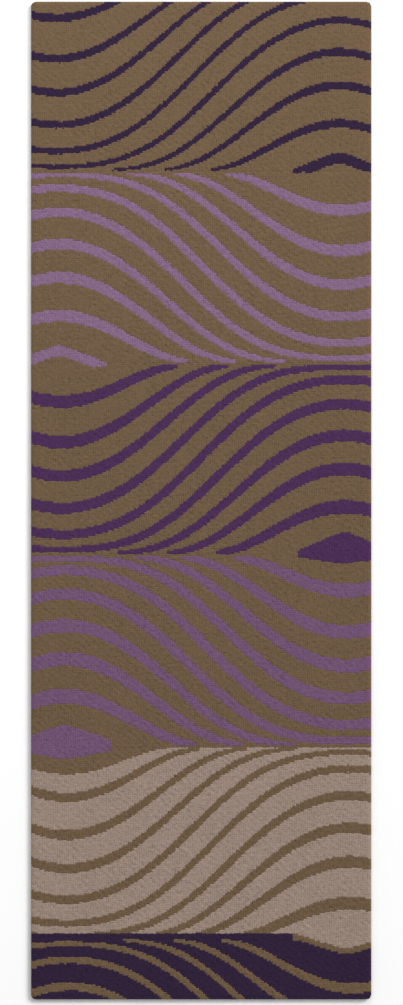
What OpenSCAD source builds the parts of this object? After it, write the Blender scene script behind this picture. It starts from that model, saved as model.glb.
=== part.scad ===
// Hallway runner rug: a cut pile with mirrored bands of wave stripes, tufted through a
// cloth, locked with latex, lined with canvas and bound with tape on its underside.
// Origin: centre of the underside. +X across the rug, +Y along it, +Z up out of the pile.

/* [Size] */
// Width of the rug
rug_w = 800; // [600:10:1000]
// Length of the rug
rug_l = 2350; // [1800:10:3000]
// Radius of the four corners
corner_r = 10; // [6:1:25]

/* [Layers] */
// Height of the cut pile above the tufting cloth
pile_h = 9; // [5:0.5:15]
// Thickness of the tufting cloth, which is also turned under along the edges
cloth_t = 0.7; // [0.5:0.1:1]
// Thickness of the latex between the tufting cloth and its turned-under hem
latex_t = 1; // [0.8:0.1:2]
// Thickness of the canvas that lines the underside
canvas_t = 0.8; // [0.5:0.1:0.9]
// Thickness of the edge tape
tape_t = 0.6; // [0.5:0.1:0.9]
// Width of the edge tape and of the hem that it covers
tape_w = 30; // [20:1:45]

/* [Seam] */
// Width of the sewing thread along each tape
thread_w = 1.2; // [0.8:0.1:2]
// Depth to which the thread sinks into the tape
thread_t = 0.3; // [0.2:0.05:0.4]
// Distance of the seam from the rug's edge
seam_in = 5; // [3:0.5:10]

/* [Wave] */
// How many band lengths fit into the rug's length
bands_shown = 5.2; // [5.1:0.05:5.4]
// Distance of the first band's centre line from the top end, as a share of a band
first_band = 0.385; // [0.35:0.005:0.42]
// How far a stripe swings to either side of its mean, in degrees of phase
swing = 55; // [52:0.5:58]
// Phase between one stripe and the next, in degrees
stripe_step = 21.6; // [21.2:0.1:22]
// Half a wave, as a share of the rug's width
half_wave = 0.834; // [0.81:0.002:0.86]
// Place of the wave's first crest, as a share of the rug's width from its middle
crest_at = -0.427; // [-0.44:0.001:-0.41]
// How far the crest moves along the width from one band to the next, in the same shares
crest_drift = 0.0075; // [0:0.0005:0.01]

/* [Hidden] */

$fn = 48;

// Heights of the layers above the floor
hem_top = tape_t + cloth_t;
latex_top = hem_top + latex_t;
pile_z = latex_top + cloth_t;

// The wave, in millimetres. Bands are numbered from 0 at the top (+Y) end.
band_l = rug_l / bands_shown;
reach = 0.495 * band_l;
outer_lines = 4;
tip_angle = 86.3;
curve_steps = 26;

// Towards a band's borders the lines stand further apart in phase and swing more: the share
// added to the phase, and the degrees added to the swing, at edge_phase
edge_phase = 85;
edge_stretch = 0.14;
edge_swing = 10.3;

// Share of the line spacing that each band's lines take up at its middle, and each band's
// phase in degrees
line_share = [0.22, 0.30, 0.335, 0.37, 0.27, 0.25];
band_phase = [-2.2, -2.1, -2.3, -3.5, -18.1, 3];

// Shares of a line's width that are added to it: evenly towards the borders, only close to
// the borders, and on the line next to an eye
edge_gain = 0.4;
tip_gain = 1.7;
outer_gain = 0.23;

// The colour that a band's eye shows lies round its end border: how far the eye rises above
// that border, how far it dips below, and the thickness of its arch, or 0 if it is filled.
eye_rise = [45, 42, 54, 51];
eye_dip = [2, 9, 19, 27];
eye_arch = [26, 25, 0, 0];
eye_half = 112;
eye_slope = [0.4, 0.4, 0.44, 0.36];
eye_round = 5;

// The last border bulges down round the taupe field's own eye, with a brown line under it
bulge_x = 0.426 * rug_w;
bulge_dip = 21.5;
bulge_slope = 0.35;
bulge_round = 8;
bulge_line = 14;
bulge_start = 0.27 * rug_w;
border_lift = 11;

// First and last brown line of the taupe band, and the number of its lens's lower edge
taupe_first = -3;
taupe_last = 5;
lens_edge = -3.48;

ground_brown = [0.44, 0.36, 0.28];
aubergine = [0.21, 0.14, 0.25];
mauve = [0.54, 0.41, 0.54];
purple = [0.30, 0.19, 0.33];
plum = [0.43, 0.32, 0.44];
taupe = [0.58, 0.51, 0.46];
cloth_colour = [0.70, 0.66, 0.58];
latex_colour = [0.88, 0.86, 0.78];
canvas_colour = [0.76, 0.70, 0.60];
tape_colour = [0.36, 0.30, 0.24];
thread_colour = [0.28, 0.23, 0.19];

function side_of(band) = band % 2 == 0 ? 1 : -1;
function band_y(band) = rug_l / 2 - (first_band + band) * band_l;
function border_y(band) = band_y(band) - band_l / 2;
function crest_x(band) = (crest_at + crest_drift * band) * rug_w;
function clamp(v, limit) = max(-limit, min(limit, v));
function turn(band, x) = 180 * (x - crest_x(band)) / (half_wave * rug_w);

// Phase of line number n at x. Whole numbers are the middles of lines.
function even_phase(band, n) = stripe_step * n + band_phase[band];
function edge_share(band, n) = even_phase(band, n) / edge_phase;
function base_phase(band, n) =
    even_phase(band, n) * (1 + edge_stretch * pow(edge_share(band, n), 6));
function full_swing(band, n) = swing + edge_swing * pow(edge_share(band, n), 4);
function phase(band, n, x) =
    base_phase(band, n) + side_of(band) * full_swing(band, n) * cos(turn(band, x));

// Height on the rug of a phase, of line number n, and of that line's upper (-1) or lower (1)
// edge. spread is the phase from a line's middle to its edge.
function phase_y(band, angle) = band_y(band) - reach * sin(clamp(angle, 90));
function line_y(band, n, x) = phase_y(band, phase(band, n, x));
function nearness(angle) = 1 - cos(clamp(angle, 90));
function widening(angle) =
    1 + edge_gain * nearness(angle) + tip_gain * pow(nearness(angle), 3);
function outer(n) = 1 + outer_gain * pow(n / outer_lines, 4);
function spread(band, n, angle) =
    stripe_step * line_share[band] / 2 * widening(angle) * outer(n);
function edge_y(band, n, x, way) =
    phase_y(band, phase(band, n, x) + way * spread(band, n, phase(band, n, x)));

// A line ends bluntly at the band's end, where the phase of its middle reaches tip_angle.
// fade is the cosine of the wave's turn at that place.
function fade(band, n) = (tip_angle - abs(base_phase(band, n))) / full_swing(band, n);
function fade_turn(band, n) = acos(clamp(fade(band, n), 1));
function fades_left(band, n) = side_of(band) * n > 0;
function fades(band, n) = fade(band, n) < 1;
function place(band, angle) = crest_x(band) + half_wave * rug_w * angle / 180;
function first_x(band, n) =
    fades(band, n) && fades_left(band, n) ? place(band, fade_turn(band, n)) : -rug_w / 2;
function last_x(band, n) =
    fades(band, n) && !fades_left(band, n)
        ? min(rug_w / 2, place(band, 180 - fade_turn(band, n))) : rug_w / 2;

function steps(from, to, count) = [for (i = [0:count]) from + (to - from) * i / count];
function backwards(list) = [for (i = [len(list) - 1:-1:0]) list[i]];

// A symmetric roof of a given slope with a rounded ridge: how far it has dropped at x
function roof(x, slope, ridge) = sqrt(pow(slope * x, 2) + ridge * ridge) - ridge;

// Lower border of the taupe band
function bulge_y(x) =
    border_y(4) + min(border_lift, roof(x - bulge_x, bulge_slope, bulge_round) - bulge_dip);

module prism(points) {
    translate([0, 0, pile_z]) linear_extrude(pile_h) polygon(points);
}

// Line number n with its width
module line(band, n) {
    xs = steps(first_x(band, n), last_x(band, n), curve_steps);
    prism(concat([for (x = xs) [x, edge_y(band, n, x, -1)]],
                 [for (x = backwards(xs)) [x, edge_y(band, n, x, 1)]]));
}

module lines(band, from = -outer_lines, to = outer_lines) {
    for (n = [from:to]) line(band, n);
}

// The eye at the end of a band, an arch or a filled lozenge
module eye(band) {
    middle = crest_x(band) + (side_of(band) > 0 ? half_wave * rug_w : 0);
    from = max(-rug_w / 2, middle - eye_half);
    to = min(rug_w / 2, middle + eye_half);
    xs = steps(from, to, curve_steps);
    top = border_y(band) + eye_rise[band];
    low = border_y(band) - eye_dip[band];
    slope = eye_slope[band];
    low_slope = slope * (eye_dip[band] + 2) / eye_rise[band];
    prism(concat(
        [for (x = xs) [x, top - roof(x - middle, slope, eye_round)]],
        [for (x = backwards(xs)) [x, eye_arch[band] > 0
            ? max(low, top - eye_arch[band] - roof(x - middle, slope, eye_round))
            : low + roof(x - middle, low_slope, eye_round)]]
    ));
}

// All of the pile between a band's two borders
module block(band) {
    up = band == 0 ? rug_l / 2 : border_y(band - 1);
    down = band == 5 ? -rug_l / 2 : border_y(band);
    xs = steps(-rug_w / 2, rug_w / 2, 2 * curve_steps);
    top = [for (x = xs) [x, band == 5 ? bulge_y(x) : up]];
    bottom = [for (x = backwards(xs)) [x, band == 4 ? bulge_y(x) : down]];
    ends_up = [[-rug_w / 2, up], [rug_w / 2, up]];
    ends_down = [[rug_w / 2, down], [-rug_w / 2, down]];
    prism(concat(band == 5 ? top : ends_up, band == 4 ? bottom : ends_down));
}

// The brown line that hangs under the taupe field's eye, before the last band's block trims it
module bulge_outline() {
    xs = steps(bulge_start, rug_w / 2, curve_steps);
    prism(concat([for (x = xs) [x, bulge_y(x) + bulge_line]],
                 [for (x = backwards(xs)) [x, bulge_y(x) - bulge_line]]));
}

// The plain brown start of the taupe band, before its first line
module start_lens(band, n) {
    end = last_x(band, n);
    xs = steps(first_x(band, n), end, curve_steps);
    prism(concat([for (x = xs) [x, line_y(band, n, x)]],
                 [[end, border_y(band - 1)], [-rug_w / 2, border_y(band - 1)]]));
}

// A plate of the rug's outline, drawn in by inset, between two heights
module plate(inset, z_low, z_high) {
    r = max(corner_r - inset, 1);
    x = rug_w / 2 - inset;
    y = rug_l / 2 - inset;
    translate([0, 0, z_low]) union() {
        translate([-x + r, -y, 0]) cube([2 * (x - r), 2 * y, z_high - z_low]);
        translate([-x, -y + r, 0]) cube([2 * x, 2 * (y - r), z_high - z_low]);
        for (i = [-1, 1], j = [-1, 1])
            translate([i * (x - r), j * (y - r), 0]) cylinder(h = z_high - z_low, r = r);
    }
}

module within_outline() {
    intersection() {
        children();
        plate(0, pile_z, pile_z + pile_h);
    }
}

// Ground of bands 1 to 4: the block less its own lines and the eyes that reach into it
module ground(band) {
    difference() {
        block(band);
        lines(band);
        eye(band);
        if (band > 0) eye(band - 1);
    }
}

module stripes(band) {
    lines(band);
    eye(band);
}

// Bands 5 and 6 turn the pattern round: thin brown lines on a coloured field
module taupe_lines() {
    lines(4, taupe_first, taupe_last);
    start_lens(4, lens_edge);
}

module dark_lines() {
    intersection() {
        block(5);
        union() {
            lines(5, -outer_lines, 1);
            bulge_outline();
        }
    }
}

// The frame between the rug's edge and a line drawn in by width, between two heights
module frame(width, z_low, z_high) {
    difference() {
        plate(0, z_low, z_high);
        plate(width, z_low - 1, z_high + 1);
    }
}

// One mitred side of the edge tape. ends turns the long sides' shape into the ends' shape.
module tape(side, ends) {
    x = rug_w / 2 + 1;
    y = rug_l / 2 + 1;
    depth = 2 * tape_w;
    long_side = [[x, y], [x, -y], [x - depth, depth - y], [x - depth, y - depth]];
    end_side = [[x, y], [-x, y], [depth - x, y - depth], [x - depth, y - depth]];
    difference() {
        intersection() {
            frame(tape_w, 0, tape_t);
            translate([0, 0, -1]) linear_extrude(tape_t + 2)
                polygon([for (p = ends ? end_side : long_side) side * p]);
        }
        seam(side, ends, 1);
    }
}

// The sewing thread along one side. below lets the same shape cut its groove.
module seam(side, ends, below = 0) {
    run = (ends ? rug_w : rug_l) - 2 * tape_w;
    size = ends ? [run, thread_w] : [thread_w, run];
    middle = ends ? [0, side * (rug_l / 2 - seam_in)] : [side * (rug_w / 2 - seam_in), 0];
    translate([middle[0] - size[0] / 2, middle[1] - size[1] / 2, -below])
        cube([size[0], size[1], thread_t + below]);
}

module band_1_ground_pile() { color(ground_brown) within_outline() ground(0); }
module band_1_aubergine_stripes() { color(aubergine) within_outline() stripes(0); }
module band_2_ground_pile() { color(ground_brown) ground(1); }
module band_2_mauve_stripes() { color(mauve) stripes(1); }
module band_3_ground_pile() { color(ground_brown) ground(2); }
module band_3_purple_stripes() { color(purple) stripes(2); }
module band_4_ground_pile() { color(ground_brown) ground(3); }
module band_4_plum_stripes() { color(plum) stripes(3); }

module band_5_brown_lines() {
    color(ground_brown) difference() {
        taupe_lines();
        eye(3);
    }
}

module band_5_taupe_field() {
    color(taupe) difference() {
        block(4);
        taupe_lines();
    }
}

module band_6_brown_lines() { color(ground_brown) within_outline() dark_lines(); }

module band_6_aubergine_field() {
    color(aubergine) within_outline() difference() {
        block(5);
        dark_lines();
    }
}

// The cloth that the tufts are sewn through, turned down and under along all four edges
module tufting_cloth() {
    color(cloth_colour) difference() {
        plate(0, tape_t, pile_z);
        plate(cloth_t, hem_top, latex_top);
        plate(tape_w, 0, latex_top);
    }
}

module latex_coat() {
    color(latex_colour) {
        plate(cloth_t, hem_top, latex_top);
        plate(tape_w, canvas_t, hem_top);
    }
}

module canvas_lining() { color(canvas_colour) plate(tape_w, 0, canvas_t); }

module edge_tape_left() { color(tape_colour) tape(-1, false); }
module edge_tape_right() { color(tape_colour) tape(1, false); }
module edge_tape_top() { color(tape_colour) tape(1, true); }
module edge_tape_bottom() { color(tape_colour) tape(-1, true); }

module tape_seam_left() { color(thread_colour) seam(-1, false); }
module tape_seam_right() { color(thread_colour) seam(1, false); }
module tape_seam_top() { color(thread_colour) seam(1, true); }
module tape_seam_bottom() { color(thread_colour) seam(-1, true); }

band_1_ground_pile();
band_1_aubergine_stripes();
band_2_ground_pile();
band_2_mauve_stripes();
band_3_ground_pile();
band_3_purple_stripes();
band_4_ground_pile();
band_4_plum_stripes();
band_5_brown_lines();
band_5_taupe_field();
band_6_brown_lines();
band_6_aubergine_field();
tufting_cloth();
latex_coat();
canvas_lining();
edge_tape_left();
edge_tape_right();
edge_tape_top();
edge_tape_bottom();
tape_seam_left();
tape_seam_right();
tape_seam_top();
tape_seam_bottom();
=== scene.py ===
"""Looks of a hallway runner rug: a cut pile in mirrored bands of wave stripes, on a tufting
cloth with a turned-under hem, a latex coat, a canvas lining and a stitched edge tape.
The wave is the same formula as the rug's design, worked out here for every single tuft."""
import math

import bpy
import numpy as np
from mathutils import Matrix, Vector


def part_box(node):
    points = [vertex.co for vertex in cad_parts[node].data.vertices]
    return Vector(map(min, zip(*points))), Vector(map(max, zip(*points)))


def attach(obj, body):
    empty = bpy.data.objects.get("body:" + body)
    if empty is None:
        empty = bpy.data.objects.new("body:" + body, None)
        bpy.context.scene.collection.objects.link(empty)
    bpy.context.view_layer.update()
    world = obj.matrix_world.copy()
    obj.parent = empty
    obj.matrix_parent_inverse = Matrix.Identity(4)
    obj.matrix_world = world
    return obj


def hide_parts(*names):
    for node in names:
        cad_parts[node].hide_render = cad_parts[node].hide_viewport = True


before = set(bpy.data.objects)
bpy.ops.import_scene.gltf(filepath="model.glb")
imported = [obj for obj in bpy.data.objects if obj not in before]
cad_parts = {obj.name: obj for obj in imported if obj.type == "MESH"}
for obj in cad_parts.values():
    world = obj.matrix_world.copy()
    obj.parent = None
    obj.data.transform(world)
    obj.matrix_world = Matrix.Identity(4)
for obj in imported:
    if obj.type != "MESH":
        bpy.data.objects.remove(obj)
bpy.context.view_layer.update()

MM = 0.001
ROOT = "root"

# ---------------------------------------------------------------- sizes, from the frame
cloth_low, cloth_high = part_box("tufting_cloth")
pile_low, pile_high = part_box("band_1_ground_pile")
canvas_low, canvas_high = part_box("canvas_lining")
tape_low, tape_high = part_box("edge_tape_left")
thread_low, thread_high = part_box("tape_seam_left")

WIDTH = cloth_high.x - cloth_low.x
LENGTH = cloth_high.y - cloth_low.y
HALF_W = WIDTH / 2
HALF_L = LENGTH / 2
TAPE_W = canvas_low.x - cloth_low.x
TAPE_T = tape_high.z - tape_low.z
CORNER = 10 * MM
PILE_Z = pile_low.z
PILE_H = pile_high.z - pile_low.z

# ---------------------------------------------------------------- the wave, as designed
# Phases are in degrees: -90 lies just inside a band's upper border, 90 just inside its lower
BANDS_SHOWN = 5.2
FIRST_BAND = 0.385
SWING = 55
STRIPE_STEP = 21.6
HALF_WAVE = 0.834 * WIDTH
CREST_AT = -0.427
CREST_DRIFT = 0.0075
BAND_L = LENGTH / BANDS_SHOWN
REACH = 0.495 * BAND_L
OUTER_LINES = 4
EDGE_PHASE = 85
EDGE_STRETCH = 0.14
EDGE_SWING = 10.3
TIP_PHASE = 86.3
LINE_SHARE = (0.22, 0.30, 0.335, 0.37, 0.27, 0.25)
BAND_PHASE = (-2.2, -2.1, -2.3, -3.5, -18.1, 3)
EDGE_GAIN = 0.4
TIP_GAIN = 1.7
OUTER_GAIN = 0.23

# The eye at the end of bands 1 to 4: rise above the border, dip below it, thickness of its
# arch (0 if it is filled) and slope of its roof
EYES = (
    (45 * MM, 2 * MM, 26 * MM, 0.4),
    (42 * MM, 9 * MM, 25 * MM, 0.4),
    (54 * MM, 19 * MM, 0, 0.44),
    (51 * MM, 27 * MM, 0, 0.36),
)
EYE_HALF = 112 * MM
EYE_ROUND = 5 * MM

# The last border bulges down round the taupe field's own eye
BULGE_X = 0.426 * WIDTH
BULGE_DIP = 21.5 * MM
BULGE_SLOPE = 0.35
BULGE_ROUND = 8 * MM
BULGE_LINE = 14 * MM
BULGE_START = 0.27 * WIDTH
BORDER_LIFT = 11 * MM
TAUPE_FIRST = -3
TAUPE_LAST = 5
LENS_EDGE = -3.48
AUBERGINE_LAST = 1

# Nodes of the pile: the brown of each band, and its other colour with the slot of that
GROUND_NODES = (
    "band_1_ground_pile", "band_2_ground_pile", "band_3_ground_pile",
    "band_4_ground_pile", "band_5_brown_lines", "band_6_brown_lines",
)
COLOUR_NODES = (
    "band_1_aubergine_stripes", "band_2_mauve_stripes", "band_3_purple_stripes",
    "band_4_plum_stripes", "band_5_taupe_field", "band_6_aubergine_field",
)
COLOUR_SLOTS = (
    "aubergine_pile", "mauve_pile", "purple_pile", "plum_pile", "taupe_pile",
    "aubergine_pile",
)
STRIPED_BANDS = range(4)
TAUPE_BAND = 4
AUBERGINE_BAND = 5
COLOUR = len(GROUND_NODES)

# ---------------------------------------------------------------- sizes of the tufts
TUFT = 4.3 * MM
TUFT_STAGGER = 0.9 * MM
TUFT_JITTER = 1.15 * MM
TUFT_INSET = 1.1 * MM
TUFT_CROWN = 1.15 * MM
SIDE_CROWN = 0.7 * MM
CROWN_SHIFT = 0.3 * MM
CROWN_RISE = 0.13 * MM
CROWN_TILT = 0.06 * MM
SUNK_SHARE = 0.005
SUNK = 1.0 * MM
MIDDLE_ROW = 0.55
SEED = 5

# A face counts as upright if its normal rises or falls less than this
UPRIGHT = 0.2

# Tufts stand together in clumps, longer across the rug than along it: how many ripples make
# them, how far apart a ripple's crests lie, the largest angle between its run and the rug's
# length, and how high it lifts the pile
CLUMP_RIPPLES = 20
CLUMP_LENGTH = (10 * MM, 17 * MM)
CLUMP_TURN = math.radians(65)
CLUMP_RISE = 0.085 * MM

# Shallow swells of the whole pile: height in mm, turns in radians to the metre along X and
# along Y, and start
SWELLS = ((0.18, 23, 7, 0), (0.16, -17, 11, 1.3), (0.14, 9, 41, 0.4))

# Towards the rug's edge the pile drops, bulges out half-way up and leans in at its top
RIM_DROP_MM = 1.5
RIM_BULGE = 0.5 * MM
RIM_LEAN = 0.7 * MM

# ---------------------------------------------------------------- sizes of the back
# On each half of an axis, CORNER_CELLS is the share of a sheet's cells that falls in the
# rounded corner. Each sheet's thickness is a share of its CAD piece's.
CORNER_CELLS = 0.1
CLOTH_CELLS = (84, 196)
CLOTH_SHARE = 0.96
CANVAS_CELLS = (74, 229)
CANVAS_SHARE = 0.84
CANVAS_GAP = 0.25 * MM
CANVAS_LIFT = 0.06 * MM
CANVAS_RIPPLE = 0.05 * MM

# Rows of points across the tape, at these thirtieths of its width, closest at the seam
TAPE_ROWS = (0, 0.4, 1.2, 2.4, 3.6, 4.2, 4.7, 5.0, 5.3, 5.8, 6.6, 8, 12, 18, 24, 28.4, 29.4, 30)
TAPE_CELL = 12 * MM
TAPE_SHARE = 0.55
TAPE_LIFT = 0.04 * MM
SEAM_DIP = 0.2 * MM
SEAM_DIP_HALF = 1.1 * MM
TAPE_ROUND = 0.22 * MM
TAPE_ROUND_HALF = 0.5 * MM

STITCH_PITCH = 8.5 * MM
STITCH_HALF = 3.7 * MM
STITCH_SIZE = (0.95 * MM, 0.42 * MM, 7.4 * MM)
STITCH_BLUNT = 0.8
STITCH_LIFT = 0.26 * MM
STITCH_DIP = 0.2 * MM
STITCH_SKEW = 0.12 * MM

# ---------------------------------------------------------------- the view and its light
CAMERA_HEIGHT = 14.0
CAMERA_X = 0.0006
CAMERA_Y = -0.0047
VIEW_SHARE = 1.0077
FLOOR_SIZE = 80.0
SUN_STRENGTH = 2.27
SUN_PLACE = (3, 2.4, 2.5)
SUN_ANGLE = math.radians(24)
LAMP_WATTS = 49
LAMP_PLACE = (0.1, 2.7, 2.6)
LAMP_AIM = (0, 0.2, 0)
LAMP_SIZE = (2.4, 1.2)
SURROUND_STRENGTH = 0.525


# ---------------------------------------------------------------- the wave's functions
def side_of(band):
    return 1 if band % 2 == 0 else -1


def band_y(band):
    return HALF_L - (FIRST_BAND + band) * BAND_L


def border_y(band):
    return band_y(band) - BAND_L / 2


def crest_x(band):
    return (CREST_AT + CREST_DRIFT * band) * WIDTH


def line_phase(band, number, x):
    """Phase of a line at x, in degrees. Whole numbers are the middles of lines."""
    even = STRIPE_STEP * number + BAND_PHASE[band]
    edge = even / EDGE_PHASE
    base = even * (1 + EDGE_STRETCH * edge ** 6)
    swing = SWING + EDGE_SWING * edge ** 4
    return base + side_of(band) * swing * np.cos(np.pi * (x - crest_x(band)) / HALF_WAVE)


def phase_sine(phase):
    return np.sin(np.radians(np.clip(phase, -90, 90)))


def phase_y(band, phase):
    """How far up the rug a phase lies."""
    return band_y(band) - REACH * phase_sine(phase)


def on_lines(band, numbers, x, y):
    hit = np.zeros(x.shape, bool)
    for number in numbers:
        middle = line_phase(band, number, x)
        nearness = 1 - np.sqrt(1 - phase_sine(middle) ** 2)
        widening = 1 + EDGE_GAIN * nearness + TIP_GAIN * nearness ** 3
        outer = 1 + OUTER_GAIN * (number / OUTER_LINES) ** 4
        spread = STRIPE_STEP * LINE_SHARE[band] / 2 * widening * outer
        below_top = y <= phase_y(band, middle - spread)
        above_end = y > phase_y(band, middle + spread)
        hit |= below_top & above_end & (abs(middle) < TIP_PHASE)
    return hit


def roof(x, slope, ridge):
    """How far a roof with a rounded ridge has dropped at x."""
    return np.sqrt((slope * x) ** 2 + ridge ** 2) - ridge


def bulge_y(x):
    drop = roof(x - BULGE_X, BULGE_SLOPE, BULGE_ROUND) - BULGE_DIP
    return border_y(TAUPE_BAND) + np.minimum(BORDER_LIFT, drop)


def in_eye(band, x, y):
    rise, dip, arch, slope = EYES[band]
    off = x - crest_x(band) - (HALF_WAVE if side_of(band) > 0 else 0)
    top = border_y(band) + rise
    low = border_y(band) - dip
    under_roof = y <= top - roof(off, slope, EYE_ROUND)
    if arch:
        above_floor = (y > low) & (y > top - arch - roof(off, slope, EYE_ROUND))
    else:
        low_slope = slope * (dip + 2 * MM) / rise
        above_floor = y > low + roof(off, low_slope, EYE_ROUND)
    return under_roof & above_floor & (abs(off) < EYE_HALF)


def pile_node(x, y):
    """For each place, the number of the pile node there: 0 to 5 ground, 6 to 11 colour."""
    band = np.zeros(x.shape, int)
    for border in STRIPED_BANDS:
        band[y < border_y(border)] = border + 1
    band[y < bulge_y(x)] = AUBERGINE_BAND
    node = band.copy()
    all_lines = range(-OUTER_LINES, OUTER_LINES + 1)
    for striped in STRIPED_BANDS:
        lines = (band == striped) & on_lines(striped, all_lines, x, y)
        node[lines] = striped + COLOUR
    brown = on_lines(TAUPE_BAND, range(TAUPE_FIRST, TAUPE_LAST + 1), x, y)
    brown |= y > phase_y(TAUPE_BAND, line_phase(TAUPE_BAND, LENS_EDGE, x))
    node[(band == TAUPE_BAND) & ~brown] = TAUPE_BAND + COLOUR
    brown = on_lines(AUBERGINE_BAND, range(-OUTER_LINES, AUBERGINE_LAST + 1), x, y)
    brown |= (x > BULGE_START) & (y > bulge_y(x) - BULGE_LINE)
    node[(band == AUBERGINE_BAND) & ~brown] = AUBERGINE_BAND + COLOUR
    for eyed in STRIPED_BANDS:
        node[in_eye(eyed, x, y)] = eyed + COLOUR
    return node


# ---------------------------------------------------------------- shader maths
class Wire:
    """An output socket. Arithmetic on it adds Math nodes to its material."""

    def __init__(self, shader, socket):
        self.shader = shader
        self.socket = socket

    def maths(self, operation, *values):
        """One Math node, whose inputs are these values and not this wire unless it is listed."""
        return self.shader.node("Math", {"operation": operation}, dict(enumerate(values)))

    def __add__(self, other):
        return self.maths("ADD", self, other)

    def __radd__(self, other):
        return self.maths("ADD", other, self)

    def __sub__(self, other):
        return self.maths("SUBTRACT", self, other)

    def __rsub__(self, other):
        return self.maths("SUBTRACT", other, self)

    def __mul__(self, other):
        return self.maths("MULTIPLY", self, other)

    def __rmul__(self, other):
        return self.maths("MULTIPLY", other, self)

    def __pow__(self, other):
        return self.maths("POWER", self, other)


class Shader:
    """One material and its node tree."""

    def __init__(self, name):
        self.material = bpy.data.materials.new(name)
        self.material.use_nodes = True
        self.tree = self.material.node_tree
        self.surface = self.tree.nodes["Principled BSDF"]
        self.place = self.node("TexCoord", output="Object")

    def plug(self, socket, value):
        if isinstance(value, Wire):
            self.tree.links.new(value.socket, socket)
        else:
            socket.default_value = value

    def node(self, kind, settings=None, inputs=None, output=0):
        made = self.tree.nodes.new("ShaderNode" + kind)
        for setting, value in (settings or {}).items():
            setattr(made, setting, value)
        for socket, value in (inputs or {}).items():
            self.plug(made.inputs[socket], value)
        return Wire(self, made.outputs[output])

    def finish(self, **sockets):
        """Values and wires for the surface's own sockets, with _ for each space."""
        for socket, value in sockets.items():
            self.plug(self.surface.inputs[socket.replace("_", " ")], value)
        return self.material

    def stretched(self, scale):
        """The place on the object, multiplied by scale along each axis."""
        return self.node("Mapping", {}, {"Vector": self.place, "Scale": scale})

    def noise(self, scale, detail=2.0):
        """Noise between 0 and 1, with scale features to the metre along each axis."""
        inputs = {"Vector": self.stretched(scale), "Scale": 1.0, "Detail": detail}
        return self.node("TexNoise", {}, inputs)

    def cells(self, scale):
        """Distance from the nearest of the points scattered scale to the metre along each
        axis, where 0 is at a point and about 0.8 is halfway to the next."""
        inputs = {"Vector": self.stretched(scale), "Scale": 1.0}
        return self.node("TexVoronoi", {}, inputs)

    def axes(self):
        """The three coordinates of the place on the object."""
        parts = self.node("SeparateXYZ", {}, {"Vector": self.place}).socket.node
        return [Wire(self, socket) for socket in parts.outputs]

    def mix(self, factor, first, second):
        settings = {"data_type": "RGBA"}
        inputs = {0: factor, 6: first, 7: second}
        return self.node("Mix", settings, inputs, output=2)

    def shaded(self, colour, factor):
        """A colour made lighter or darker by a factor."""
        inputs = {0: colour, "Scale": factor}
        return self.node("VectorMath", {"operation": "SCALE"}, inputs)

    def bump(self, height, depth, strength):
        inputs = {"Height": height, "Distance": depth, "Strength": strength}
        return self.node("Bump", {}, inputs)

    def wave(self, value):
        """A sine of value, where 1 is a full turn, between -1 and 1."""
        return value.maths("SINE", value * (2 * math.pi))


def rgb(red, green, blue):
    return (red, green, blue, 1.0)


# ---------------------------------------------------------------- materials
def pile_material(name, colour, warm, grain):
    """Cut pile: every tuft has its own tone, over faint rows, soft mottling and fibre ends, and
    its colour darkens into painted shade in the gaps between the fibre ends. warm is the tint of
    the mottling, and grain how strongly the tones differ."""
    shader = Shader(name)
    tone = shader.node("Attribute", {"attribute_name": "tuft_tone"}, output=2)
    mottle = shader.noise((38, 38, 38), detail=3.0)
    rows = shader.noise((95, 155, 95), detail=1.0)
    fibre_gap_depth_and_shade = shader.cells((900, 900, 60))
    fibres = shader.noise((1700, 1700, 150), detail=3.0)
    light = 1 + grain * (tone - 0.5) + 0.1 * (mottle - 0.5) + 0.2 * (rows - 0.5)
    # The last term is painted shade: the colour darkens away from each fibre end, into the gaps
    # between fibres
    light = light + 0.3 * (fibres - 0.5) - 0.35 * (fibre_gap_depth_and_shade - 0.42)
    tinted = shader.mix(mottle, rgb(*colour), rgb(*warm))
    return shader.finish(
        Base_Color=shader.shaded(tinted, light),
        Roughness=0.84 + 0.14 * fibres,
        Normal=shader.bump(fibres * 0.5 - fibre_gap_depth_and_shade, 0.55 * MM, 0.8),
        Specular_IOR_Level=0.18,
        Sheen_Weight=0.12,
        Sheen_Roughness=0.45,
    )


def woven_material(name, colour, dark, pitch, slub):
    """Plain weave of threads pitch apart along X and Y, with thicker slubs in it. Its colour
    darkens into painted shade in the gaps between the thread crossings.
    """
    shader = Shader(name)
    x, y = shader.axes()[:2]
    wander = shader.noise((35, 35, 35), detail=2.0)
    across = shader.wave(x * (0.5 / pitch) + wander * 0.35)
    along = shader.wave(y * (0.5 / pitch) + wander * 0.35)
    over = across * along
    ridge = over.maths("ABSOLUTE", over) ** 0.6
    long_slubs = shader.noise((14, 260, 14), detail=2.0)
    cross_slubs = shader.noise((260, 14, 14), detail=2.0)
    slubs = long_slubs * 0.5 + cross_slubs * 0.5
    fuzz = shader.noise((1400, 1400, 1400), detail=2.0)
    # The weave's rise is painted as shade: the colour darkens in the gaps between thread
    # crossings, besides the real slubs and fuzz
    shade = ridge * 0.7 + slubs * slub + fuzz * 0.15
    return shader.finish(
        Base_Color=shader.mix(shade, rgb(*dark), rgb(*colour)),
        Roughness=0.82 + 0.14 * fuzz,
        Normal=shader.bump(ridge * 0.8 + slubs * 0.5 + fuzz * 0.15, 0.35 * MM, 0.9),
        Specular_IOR_Level=0.25,
        Sheen_Weight=0.06,
    )


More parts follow.
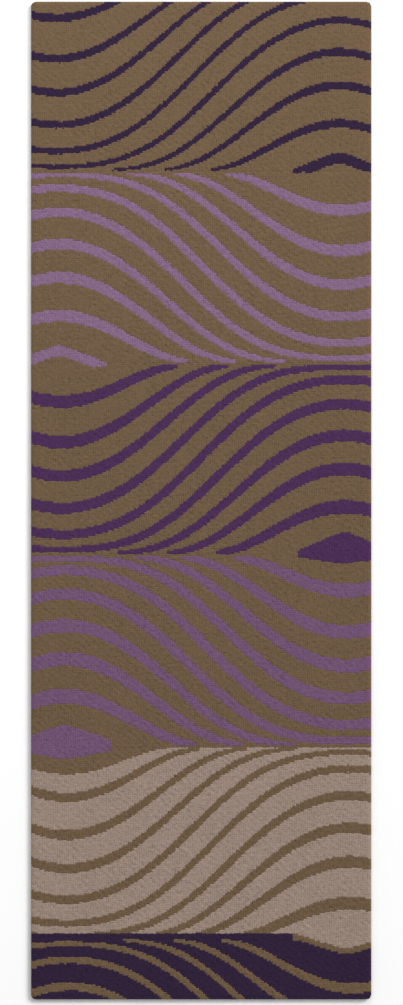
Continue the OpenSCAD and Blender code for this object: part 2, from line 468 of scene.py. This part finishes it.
def tape_material(name, colour, dark):
    """Herringbone tape: ribs that lean one way and then the other, with flecked yarn and
    painted shade in the grooves between the ribs.
    """
    shader = Shader(name)
    x, y = shader.axes()[:2]
    lean = x.maths("PINGPONG", x + y, 3.2 * MM)
    ribs = shader.wave((y - x) * (1 / (2.2 * MM)) + lean * (0.9 / MM))
    fuzz = shader.noise((1300, 1300, 1300), detail=2.0)
    fleck = shader.noise((60, 60, 60), detail=4.0)
    height = 0.5 + 0.5 * ribs
    return shader.finish(
        # The rib height also paints shade: the colour darkens in the grooves between ribs,
        # besides the real flecks
        Base_Color=shader.mix(height * 0.5 + fleck * 0.4, rgb(*dark), rgb(*colour)),
        Roughness=0.74 + 0.18 * fuzz,
        Normal=shader.bump(height * 0.8 + fuzz * 0.25, 0.22 * MM, 0.9),
        Specular_IOR_Level=0.3,
        Sheen_Weight=0.08,
    )


def thread_material(name, colour, dark):
    """Twisted sewing thread: fine slanting plies, with painted shade in the grooves between
    them.
    """
    shader = Shader(name)
    x, y, z = shader.axes()
    plies = shader.wave((x + y + z * 0.7) * (1 / (0.9 * MM)))
    fuzz = shader.noise((2500, 2500, 2500), detail=2.0)
    height = 0.5 + 0.5 * plies
    return shader.finish(
        # The ply height also paints shade: the colour darkens in the grooves between plies
        Base_Color=shader.mix(height * 0.7 + fuzz * 0.3, rgb(*dark), rgb(*colour)),
        Roughness=0.5 + 0.2 * fuzz,
        Normal=shader.bump(height + fuzz * 0.2, 0.12 * MM, 0.8),
        Specular_IOR_Level=0.4,
    )


def latex_material(name):
    """Dried latex: dull, lumpy and a little yellow where it lies thick."""
    shader = Shader(name)
    lumps = shader.noise((120, 120, 120), detail=4.0)
    pools = shader.noise((18, 18, 18), detail=2.0)
    young = rgb(0.74, 0.71, 0.6)
    old = rgb(0.62, 0.54, 0.38)
    return shader.finish(
        Base_Color=shader.mix(pools * 0.7 + lumps * 0.3, young, old),
        Roughness=0.42 + 0.25 * lumps,
        Normal=shader.bump(lumps, 0.5 * MM, 0.7),
    )


def floor_material(name):
    shader = Shader(name)
    return shader.finish(
        Base_Color=rgb(0.93, 0.93, 0.93), Roughness=0.9, Specular_IOR_Level=0.1
    )


# Base colour and the tint of its mottling, and how strongly the tuft tones differ
PILE_LOOKS = {
    "brown_pile": ((0.152, 0.102, 0.052), (0.160, 0.098, 0.056), 0.03),
    "aubergine_pile": ((0.026, 0.011, 0.041), (0.028, 0.012, 0.040), 0.03),
    "mauve_pile": ((0.216, 0.127, 0.228), (0.228, 0.129, 0.220), 0.04),
    "purple_pile": ((0.064, 0.022, 0.090), (0.069, 0.024, 0.085), 0.03),
    "plum_pile": ((0.163, 0.084, 0.175), (0.172, 0.086, 0.167), 0.03),
    "taupe_pile": ((0.325, 0.249, 0.200), (0.337, 0.246, 0.206), 0.03),
}
PILES = {name: pile_material(name, *look) for name, look in PILE_LOOKS.items()}
CLOTH = woven_material("tufting_cloth", (0.50, 0.44, 0.34), (0.30, 0.25, 0.18), 1.1 * MM, 0.25)
CANVAS = woven_material("canvas", (0.62, 0.54, 0.42), (0.34, 0.28, 0.20), 1.6 * MM, 0.35)
TAPE = tape_material("edge_tape", (0.170, 0.118, 0.078), (0.050, 0.033, 0.021))
THREAD = thread_material("sewing_thread", (0.46, 0.37, 0.26), (0.20, 0.15, 0.10))
LATEX = latex_material("latex")


# ---------------------------------------------------------------- helpers for modelling
def clear_selection():
    bpy.ops.object.select_all(action="DESELECT")


def only(piece):
    """Selects one piece and makes it the active one."""
    clear_selection()
    piece.select_set(True)
    bpy.context.view_layer.objects.active = piece


def edit(piece):
    only(piece)
    bpy.ops.object.mode_set(mode="EDIT")
    bpy.ops.mesh.select_mode(type="FACE")


def leave():
    bpy.ops.object.mode_set(mode="OBJECT")


def points_of(piece):
    """The piece's vertices as an array of rows x, y, z."""
    points = np.zeros(len(piece.data.vertices) * 3)
    piece.data.vertices.foreach_get("co", points)
    return points.reshape(-1, 3)


def put_points(piece, points):
    piece.data.vertices.foreach_set("co", points.astype(np.float32).ravel())
    piece.data.update()


def select_faces(piece, chosen):
    """Selects exactly the faces that chosen marks. Only in object mode."""
    mesh = piece.data
    mesh.vertices.foreach_set("select", np.zeros(len(mesh.vertices), bool))
    mesh.edges.foreach_set("select", np.zeros(len(mesh.edges), bool))
    mesh.polygons.foreach_set("select", chosen)


def face_values(piece, kind):
    """The centre or normal of every face, as rows x, y, z."""
    values = np.zeros(len(piece.data.polygons) * 3, np.float32)
    piece.data.polygons.foreach_get(kind, values)
    return values.reshape(-1, 3)


def crowded(places, half):
    """Grid places from -1 to 1 along an axis of that half length, drawn together at both
    ends so that CORNER_CELLS share of them, on each side, fall in a rounded corner."""
    away = np.interp(np.abs(places), (0, 1 - CORNER_CELLS, 1), (0, half - CORNER, half))
    return np.sign(places) * away


def sheet_grid(name, width, length, cols, rows, height):
    """A flat grid of that size, middle on the origin, with its points at that height."""
    clear_selection()
    bpy.ops.mesh.primitive_grid_add(x_subdivisions=cols, y_subdivisions=rows, size=1)
    grid = bpy.context.active_object
    grid.name = name
    grid.data.name = name
    edit(grid)
    bpy.ops.mesh.select_all(action="SELECT")
    bpy.ops.transform.resize(value=(width, length, 1))
    bpy.ops.transform.translate(value=(0, 0, height))
    leave()
    return grid


def rounded(points):
    """Draws in the points of the four corner squares, so that each corner is an arc."""
    over = np.abs(points[:, :2]) - (HALF_W - CORNER, HALF_L - CORNER)
    inside = (over > 0).all(axis=1)
    far = np.hypot(over[:, 0], over[:, 1])
    share = over.max(axis=1) / np.maximum(far, 1e-9)
    moved = np.sign(points[:, :2]) * ((HALF_W - CORNER, HALF_L - CORNER) + over * share[:, None])
    result = points.copy()
    result[inside, :2] = moved[inside]
    return result


def edge_distance(points):
    """How far inside the rug's outline each point lies."""
    over = np.abs(points[:, :2]) - (HALF_W - CORNER, HALF_L - CORNER)
    at_corner = CORNER - np.hypot(over[:, 0], over[:, 1])
    along_sides = CORNER - over.max(axis=1)
    return np.where((over > 0).all(axis=1), at_corner, along_sides)


def finish_piece(piece, node, material, smooth=50.0):
    """Gives a modelled piece its material, its shading and its place in the frame."""
    piece.data.materials.clear()
    piece.data.materials.append(material)
    only(piece)
    bpy.ops.object.shade_smooth_by_angle(angle=math.radians(smooth))
    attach(piece, ROOT)
    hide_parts(node)


def make_consistent(piece):
    edit(piece)
    bpy.ops.mesh.select_all(action="SELECT")
    bpy.ops.mesh.normals_make_consistent(inside=False)
    leave()


# ---------------------------------------------------------------- the pile
def tuft_cells():
    """One face for every tuft, with its own tone, marked with the pile node it belongs to."""
    cols = round(WIDTH / TUFT)
    rows = round(LENGTH / TUFT)
    cells = sheet_grid("tuft_cells", WIDTH, LENGTH, cols, rows, PILE_Z)
    random = np.random.default_rng(SEED)
    points = points_of(cells)
    moves = random.uniform(-TUFT_JITTER, TUFT_JITTER, (len(points), 2))
    row = np.rint((points[:, 1] + HALF_L) * rows / LENGTH)
    moves[:, 0] += np.where(row % 2 == 0, TUFT_STAGGER, -TUFT_STAGGER)
    free = np.abs(points[:, :2]) < (HALF_W - TUFT / 2, HALF_L - TUFT / 2)
    points[:, :2] += moves * free
    put_points(cells, rounded(points))
    centres = face_values(cells, "center")
    node = pile_node(centres[:, 0].astype(float), centres[:, 1].astype(float))
    for name in GROUND_NODES + COLOUR_NODES:
        cells.data.materials.append(bpy.data.materials.new(name))
    cells.data.polygons.foreach_set("material_index", node.astype(np.int32))
    tone = cells.data.attributes.new("tuft_tone", "FLOAT", "FACE")
    tone.data.foreach_set("value", random.uniform(0, 1, len(centres)).astype(np.float32))
    return cells


def split_cells(cells):
    """Parts the cells into one object for each pile node, named after it."""
    edit(cells)
    bpy.ops.mesh.select_all(action="SELECT")
    bpy.ops.mesh.separate(type="MATERIAL")
    leave()
    parts = {part.data.materials[0].name: part for part in bpy.context.selected_objects}
    for name, part in parts.items():
        part.name = name.replace("_pile", "").replace("_field", "") + "_tufts"
        part.data.name = part.name
    return parts


def pull_crowns(piece, crowns, random):
    """Moves, lifts and tilts each tuft's crown a little, and sinks a few tufts."""
    mesh = piece.data
    loops = np.zeros(len(mesh.loops), np.int32)
    mesh.loops.foreach_get("vertex_index", loops)
    starts = np.zeros(len(mesh.polygons), np.int32)
    mesh.polygons.foreach_get("loop_start", starts)
    corners = loops[starts[crowns][:, None] + np.arange(4)]
    points = points_of(piece)
    count = len(corners)
    shift = random.normal(0, 1, (count, 1, 3)) * (CROWN_SHIFT, CROWN_SHIFT, CROWN_RISE)
    sunk = random.uniform(0, 1, count) < SUNK_SHARE
    shift[sunk, 0, 2] -= SUNK
    points[corners] += shift
    points[corners, 2] += random.normal(0, CROWN_TILT, (count, 4))
    put_points(piece, points)


def clumps(x, y):
    """How far clumps of tufts stand up at each place: many small ripples added up."""
    random = np.random.default_rng(SEED)
    height = np.zeros(x.shape)
    for _ in range(CLUMP_RIPPLES):
        turn = random.uniform(-CLUMP_TURN, CLUMP_TURN)
        pace = 2 * np.pi / random.uniform(*CLUMP_LENGTH)
        start = random.uniform(0, 2 * np.pi)
        height += np.sin(pace * (np.sin(turn) * x + np.cos(turn) * y) + start)
    return CLUMP_RISE * height


def near_rim(inside, reach):
    """1 at the rug's edge, fading to 0 over a few times reach further in."""
    return np.exp(-(inside / reach) ** 2)


def settle_pile(piece):
    """Rounds the pile off towards the rug's edge and gives it clumps and shallow swells."""
    points = points_of(piece)
    inside = np.maximum(edge_distance(points), 0)
    height = np.clip((points[:, 2] - PILE_Z) / PILE_H, 0, 1)
    x, y = points[:, 0], points[:, 1]
    swell = sum(
        rise * np.sin(by_x * x + by_y * y + start) for rise, by_x, by_y, start in SWELLS
    )
    drop = RIM_DROP_MM * near_rim(inside, 4 * MM)
    lift = clumps(x, y) + (swell - drop) * MM
    points[:, 2] += lift * height ** 2
    bulge = RIM_BULGE * np.sin(np.pi * height) * near_rim(inside, 2 * MM)
    lean = -RIM_LEAN * height ** 3 * near_rim(inside, 3 * MM)
    near_x = (HALF_W - np.abs(x)) < (HALF_L - np.abs(y))
    points[:, 0] += np.sign(x) * (bulge + lean) * near_x
    points[:, 1] += np.sign(y) * (bulge + lean) * ~near_x
    put_points(piece, points)


def grow_pile(piece, random):
    """Extrudes the cells up in two steps, and crowns every tuft and every side of the rug."""
    body = PILE_H - TUFT_CROWN
    edit(piece)
    bpy.ops.mesh.select_all(action="SELECT")
    for step in (body * MIDDLE_ROW, body * (1 - MIDDLE_ROW)):
        bpy.ops.mesh.extrude_region_move(TRANSFORM_OT_translate={"value": (0, 0, step)})
    bpy.ops.mesh.inset(thickness=TUFT_INSET, depth=TUFT_CROWN, use_individual=True)
    leave()
    crowns = np.zeros(len(piece.data.polygons), bool)
    piece.data.polygons.foreach_get("select", crowns)
    pull_crowns(piece, crowns, random)
    make_consistent(piece)
    upright = np.abs(face_values(piece, "normal")[:, 2]) < UPRIGHT
    at_edge = edge_distance(face_values(piece, "center")) < 0.2 * MM
    select_faces(piece, upright & at_edge)
    edit(piece)
    bpy.ops.mesh.inset(thickness=TUFT_INSET, depth=SIDE_CROWN, use_individual=True)
    leave()
    settle_pile(piece)


def sharpen_walls(piece):
    """Keeps the upright walls between colours out of the shading of the tufts' tops."""
    upright = np.abs(face_values(piece, "normal")[:, 2]) < UPRIGHT
    inner = edge_distance(face_values(piece, "center")) > 0.5 * MM
    select_faces(piece, upright & inner)
    edit(piece)
    bpy.ops.mesh.region_to_loop()
    bpy.ops.mesh.mark_sharp()
    leave()


def build_pile():
    parts = split_cells(tuft_cells())
    slots = ("brown_pile",) * len(GROUND_NODES) + COLOUR_SLOTS
    for index, node in enumerate(GROUND_NODES + COLOUR_NODES):
        piece = parts[node]
        grow_pile(piece, np.random.default_rng(SEED + 1 + index))
        finish_piece(piece, node, PILES[slots[index]], smooth=110.0)
        sharpen_walls(piece)


# ---------------------------------------------------------------- cloth, canvas and tape
def solidify(piece, thickness, offset):
    only(piece)
    shell = piece.modifiers.new("thickness", "SOLIDIFY")
    shell.thickness = thickness
    shell.offset = offset
    bpy.ops.object.modifier_apply(modifier="thickness")
    make_consistent(piece)


def build_tufting_cloth():
    """The cloth under the pile, folded down over the rim and turned under as a hem."""
    thick = cloth_high.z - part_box("latex_coat")[1].z
    top = cloth_high.z - thick / 2
    low = cloth_low.z + thick / 2
    fold = thick
    start = thick / 2 + fold
    half_w, half_l = HALF_W - start, HALF_L - start
    cloth = sheet_grid("tufting_cloth_sheet", 2 * half_w, 2 * half_l, *CLOTH_CELLS, top)
    points = points_of(cloth)
    points[:, 0] = crowded(points[:, 0] / half_w, half_w)
    points[:, 1] = crowded(points[:, 1] / half_l, half_l)
    put_points(cloth, points)
    steps = (
        (start - fold / 4, top - fold / 4),
        (thick / 2, top - fold),
        (thick / 2, low + fold),
        (start - fold / 4, low + fold / 4),
        (start, low),
        (TAPE_W / 2, low),
        (TAPE_W, low),
    )
    edit(cloth)
    bpy.ops.mesh.select_mode(type="EDGE")
    bpy.ops.mesh.select_all(action="SELECT")
    bpy.ops.mesh.region_to_loop()
    inset, height = start, top
    for next_inset, next_height in steps:
        bpy.ops.mesh.extrude_edges_move(
            TRANSFORM_OT_translate={"value": (0, 0, next_height - height)}
        )
        scale_x = (HALF_W - next_inset) / (HALF_W - inset)
        scale_y = (HALF_L - next_inset) / (HALF_L - inset)
        bpy.ops.transform.resize(value=(scale_x, scale_y, 1), center_override=(0, 0, 0))
        inset, height = next_inset, next_height
    leave()
    put_points(cloth, rounded(points_of(cloth)))
    solidify(cloth, thick * CLOTH_SHARE, 0)
    finish_piece(cloth, "tufting_cloth", CLOTH, smooth=60.0)


def build_canvas():
    """The lining, laid between the tapes, with a soft waviness."""
    low, high = canvas_low.z, canvas_high.z
    width = canvas_high.x - canvas_low.x - 2 * CANVAS_GAP
    length = canvas_high.y - canvas_low.y - 2 * CANVAS_GAP
    canvas = sheet_grid("canvas_sheet", width, length, *CANVAS_CELLS, low + CANVAS_LIFT)
    points = points_of(canvas)
    x, y = points[:, 0], points[:, 1]
    ripple = np.sin(37 * x + 5 * y) * np.sin(29 * y - 6 * x)
    points[:, 2] += CANVAS_RIPPLE * (1 + ripple)
    put_points(canvas, points)
    solidify(canvas, (high - low) * CANVAS_SHARE, 1)
    finish_piece(canvas, "canvas_lining", CANVAS)


def tape_cross_section(across):
    """How far the tape's underside lies above the floor, across its width from the edge."""
    seam_at = (thread_low.x + thread_high.x) / 2 + HALF_W
    seam_dip = SEAM_DIP * np.exp(-((across - seam_at) / SEAM_DIP_HALF) ** 2)
    rims = np.minimum(across, TAPE_W - across)
    rounding = TAPE_ROUND * np.exp(-(rims / TAPE_ROUND_HALF) ** 2)
    return TAPE_LIFT + seam_dip + rounding


def build_tape(name, side, at_end):
    """One mitred side of the binding. side is 1 or -1, at_end says it crosses an end."""
    half_run = HALF_W if at_end else HALF_L
    cells_across = len(TAPE_ROWS) - 1
    cells_along = 2 * round(half_run / TAPE_CELL)
    tape = sheet_grid(name + "_ribbon", 1, 1, cells_across, cells_along, 0)
    points = points_of(tape)
    row = np.rint((points[:, 0] + 0.5) * cells_across).astype(int)
    across = np.array(TAPE_ROWS)[row] * TAPE_W / TAPE_ROWS[-1]
    along = crowded(points[:, 1] * 2, half_run) / half_run
    out_x = (HALF_L if at_end else HALF_W) - across
    run = along * (half_run - across)
    height = tape_low.z + tape_cross_section(across)
    columns = (run, side * out_x, height) if at_end else (side * out_x, run, height)
    put_points(tape, rounded(np.stack(columns, axis=1)))
    make_consistent(tape)
    normals = face_values(tape, "normal")
    facing_up = normals[:, 2].mean() > 0
    solidify(tape, TAPE_T * TAPE_SHARE, 1 if facing_up else -1)
    finish_piece(tape, name, TAPE)


def build_stitches(name, side, at_end):
    """A row of lockstitches: each is a short thread that dips into the tape at both ends."""
    low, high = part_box(name)
    run = high.x - low.x if at_end else high.y - low.y
    count = int(run / STITCH_PITCH)
    first = -STITCH_PITCH * (count - 1) / 2
    middle = (low + high) / 2
    clear_selection()
    bpy.ops.mesh.primitive_uv_sphere_add(segments=8, ring_count=7, radius=0.5)
    stitch = bpy.context.active_object
    stitch.name = name.replace("tape_seam", "seam_stitches")
    stitch.data.name = stitch.name
    edit(stitch)
    bpy.ops.mesh.select_all(action="SELECT")
    bpy.ops.transform.resize(value=STITCH_SIZE)
    leave()
    points = points_of(stitch)
    reach = points[:, 2] / STITCH_HALF
    blunt = np.sign(reach) * np.abs(reach) ** STITCH_BLUNT * STITCH_HALF
    height = STITCH_LIFT + points[:, 1] + STITCH_DIP * np.abs(reach) ** 3
    skew = points[:, 0] + STITCH_SKEW * reach
    if at_end:
        columns = (first + blunt, middle.y + skew, height)
        offset = (STITCH_PITCH, 0, 0)
    else:
        columns = (middle.x + skew, first + blunt, height)
        offset = (0, STITCH_PITCH, 0)
    put_points(stitch, np.stack(columns, axis=1))
    only(stitch)
    row = stitch.modifiers.new("row", "ARRAY")
    row.use_relative_offset = False
    row.use_constant_offset = True
    row.constant_offset_displace = offset
    row.count = count
    bpy.ops.object.modifier_apply(modifier="row")
    make_consistent(stitch)
    finish_piece(stitch, name, THREAD)


def build_back():
    build_tufting_cloth()
    build_canvas()
    sides = (("left", -1, False), ("right", 1, False), ("top", 1, True), ("bottom", -1, True))
    for place, side, at_end in sides:
        build_tape("edge_tape_" + place, side, at_end)
        build_stitches("tape_seam_" + place, side, at_end)
    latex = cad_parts["latex_coat"]
    latex.data.materials.clear()
    latex.data.materials.append(LATEX)


# ---------------------------------------------------------------- stage, light and camera
def build_floor():
    clear_selection()
    bpy.ops.mesh.primitive_plane_add(size=FLOOR_SIZE)
    floor = bpy.context.active_object
    floor.name = "floor"
    floor.data.materials.append(floor_material("floor"))


def add_light(name, kind, energy, place, aim=(0, 0, 0)):
    lamp = bpy.data.lights.new(name, kind)
    lamp.energy = energy
    light = bpy.data.objects.new(name, lamp)
    bpy.context.scene.collection.objects.link(light)
    light.location = place
    direction = light.location - Vector(aim)
    light.rotation_euler = direction.to_track_quat("Z", "Y").to_euler()
    return lamp


def build_light():
    """A soft sun from beyond the upper right corner, a wide lamp beyond the top end that
    leaves the bottom end a little darker, and an even white surround."""
    sun = add_light("key", "SUN", SUN_STRENGTH, SUN_PLACE)
    sun.angle = SUN_ANGLE
    lamp = add_light("top_lamp", "AREA", LAMP_WATTS, LAMP_PLACE, LAMP_AIM)
    lamp.shape = "RECTANGLE"
    lamp.size, lamp.size_y = LAMP_SIZE
    world = bpy.data.worlds.new("surround")
    world.use_nodes = True
    background = world.node_tree.nodes["Background"]
    background.inputs["Color"].default_value = rgb(1, 1, 1)
    background.inputs["Strength"].default_value = SURROUND_STRENGTH
    bpy.context.scene.world = world
    bpy.context.scene.view_settings.view_transform = "Standard"


def build_camera():
    """Straight down from far away through a long lens, with a narrow margin at the ends."""
    data = bpy.data.cameras.new("camera")
    data.lens = data.sensor_width * CAMERA_HEIGHT / (VIEW_SHARE * LENGTH)
    data.clip_end = 4 * CAMERA_HEIGHT
    camera = bpy.data.objects.new("camera", data)
    camera.location = (CAMERA_X, CAMERA_Y, CAMERA_HEIGHT + PILE_Z + PILE_H)
    bpy.context.scene.collection.objects.link(camera)
    bpy.context.scene.camera = camera


build_floor()
build_pile()
build_back()
build_light()
build_camera()
